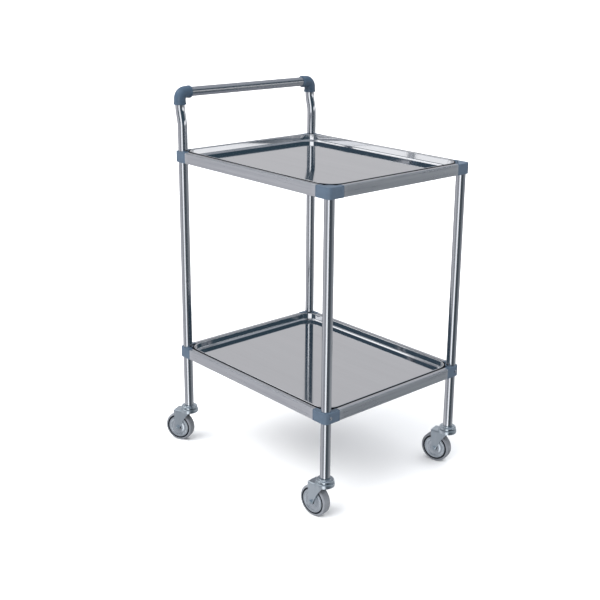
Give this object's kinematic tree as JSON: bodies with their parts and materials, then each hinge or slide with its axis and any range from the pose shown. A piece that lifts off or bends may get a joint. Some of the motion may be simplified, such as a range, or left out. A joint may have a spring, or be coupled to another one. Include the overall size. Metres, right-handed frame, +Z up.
{
  "type": "instrument cart",
  "caption": "Two-tier instrument cart with lift-out trays in brushed rail frames, round posts, moulded corner blocks, a raised push handle and swivel castors.",
  "frame": {"origin": "centre of the whole cart's footprint, on the floor, with the castors trailing as they rest", "axes": "+X the way the cart is pushed, away from the handle; +Y its left side; +Z up"},
  "size_m": [0.6509, 0.5256, 0.9913],
  "materials": {
    "tube_steel": "polished stainless tube",
    "rail_steel": "satin stainless, brushed along the rail",
    "tray_steel": "mirror polished stainless sheet",
    "moulded_corner": "blue-grey moulded plastic, satin",
    "screw_steel": "bright screw heads",
    "plug_plastic": "black moulded plastic",
    "ball_steel": "ground balls",
    "grey_tyre": "matte grey rubber",
    "wheel_body": "black moulded wheel centre",
    "wheel_cover": "zinc plated pressed disc",
    "zinc_plate": "bright zinc plated pressed steel"
  },
  "bodies": {
    "frame": {"castor_balls": "ball_steel", "corner_screws": "screw_steel", "front_left_castor_cup": "zinc_plate", "front_left_castor_stem": "zinc_plate", "front_left_post": "tube_steel", "front_right_castor_cup": "zinc_plate", "front_right_castor_stem": "zinc_plate", "front_right_post": "tube_steel", "handle_elbow_left": "moulded_corner", "handle_elbow_right": "moulded_corner", "handle_tube": "tube_steel", "lower_front_left_block": "moulded_corner", "lower_front_rail": "rail_steel", "lower_front_right_block": "moulded_corner", "lower_left_rail": "rail_steel", "lower_rear_left_block": "moulded_corner", "lower_rear_rail": "rail_steel", "lower_rear_right_block": "moulded_corner", "lower_right_rail": "rail_steel", "post_plugs": "plug_plastic", "rear_left_castor_cup": "zinc_plate", "rear_left_castor_stem": "zinc_plate", "rear_left_post": "tube_steel", "rear_right_castor_cup": "zinc_plate", "rear_right_castor_stem": "zinc_plate", "rear_right_post": "tube_steel", "upper_front_left_block": "moulded_corner", "upper_front_rail": "rail_steel", "upper_front_right_block": "moulded_corner", "upper_left_rail": "rail_steel", "upper_rear_left_block": "moulded_corner", "upper_rear_rail": "rail_steel", "upper_rear_right_block": "moulded_corner", "upper_right_rail": "rail_steel"},
    "upper_tray_body": {"upper_tray": "tray_steel"},
    "lower_tray_body": {"lower_tray": "tray_steel"},
    "front_right_swivel": {"front_right_castor_fork": "zinc_plate", "front_right_castor_axle": "zinc_plate", "front_right_castor_nut": "zinc_plate"},
    "front_right_wheel": {"front_right_castor_wheel": "wheel_body", "front_right_castor_tyre": "grey_tyre", "front_right_castor_guards": "wheel_cover"},
    "front_left_swivel": {"front_left_castor_fork": "zinc_plate", "front_left_castor_axle": "zinc_plate", "front_left_castor_nut": "zinc_plate"},
    "front_left_wheel": {"front_left_castor_wheel": "wheel_body", "front_left_castor_tyre": "grey_tyre", "front_left_castor_guards": "wheel_cover"},
    "rear_right_swivel": {"rear_right_castor_fork": "zinc_plate", "rear_right_castor_axle": "zinc_plate", "rear_right_castor_nut": "zinc_plate"},
    "rear_right_wheel": {"rear_right_castor_wheel": "wheel_body", "rear_right_castor_tyre": "grey_tyre", "rear_right_castor_guards": "wheel_cover"},
    "rear_left_swivel": {"rear_left_castor_fork": "zinc_plate", "rear_left_castor_axle": "zinc_plate", "rear_left_castor_nut": "zinc_plate"},
    "rear_left_wheel": {"rear_left_castor_wheel": "wheel_body", "rear_left_castor_tyre": "grey_tyre", "rear_left_castor_guards": "wheel_cover"}
  },
  "joints": [
    {"name": "upper_tray_lift", "type": "slide", "parent": "frame", "child": "upper_tray_body", "axis": [0, 0, 1], "range_m": [0, 0.12]},
    {"name": "lower_tray_lift", "type": "slide", "parent": "frame", "child": "lower_tray_body", "axis": [0, 0, 1], "range_m": [0, 0.12]},
    {"name": "front_right_swivel_turn", "type": "hinge", "parent": "frame", "child": "front_right_swivel", "pos_m": [0.30226, -0.224, 0.092], "axis": [0, 0, 1], "continuous": true},
    {"name": "front_right_wheel_spin", "type": "hinge", "parent": "front_right_swivel", "child": "front_right_wheel", "pos_m": [0.27242, -0.22714, 0.04], "axis": [0.1045, -0.9945, 0], "continuous": true},
    {"name": "front_left_swivel_turn", "type": "hinge", "parent": "frame", "child": "front_left_swivel", "pos_m": [0.30226, 0.224, 0.092], "axis": [0, 0, 1], "continuous": true},
    {"name": "front_left_wheel_spin", "type": "hinge", "parent": "front_left_swivel", "child": "front_left_wheel", "pos_m": [0.27328, 0.21624, 0.04], "axis": [0.2588, -0.9659, 0], "continuous": true},
    {"name": "rear_right_swivel_turn", "type": "hinge", "parent": "frame", "child": "rear_right_swivel", "pos_m": [-0.25774, -0.224, 0.092], "axis": [0, 0, 1], "continuous": true},
    {"name": "rear_right_wheel_spin", "type": "hinge", "parent": "rear_right_swivel", "child": "rear_right_wheel", "pos_m": [-0.28493, -0.23668, 0.04], "axis": [0.4226, -0.9063, 0], "continuous": true},
    {"name": "rear_left_swivel_turn", "type": "hinge", "parent": "frame", "child": "rear_left_swivel", "pos_m": [-0.25774, 0.224, 0.092], "axis": [0, 0, 1], "continuous": true},
    {"name": "rear_left_wheel_spin", "type": "hinge", "parent": "rear_left_swivel", "child": "rear_left_wheel", "pos_m": [-0.28493, 0.23668, 0.04], "axis": [-0.4226, -0.9063, 0], "continuous": true}
  ]
}
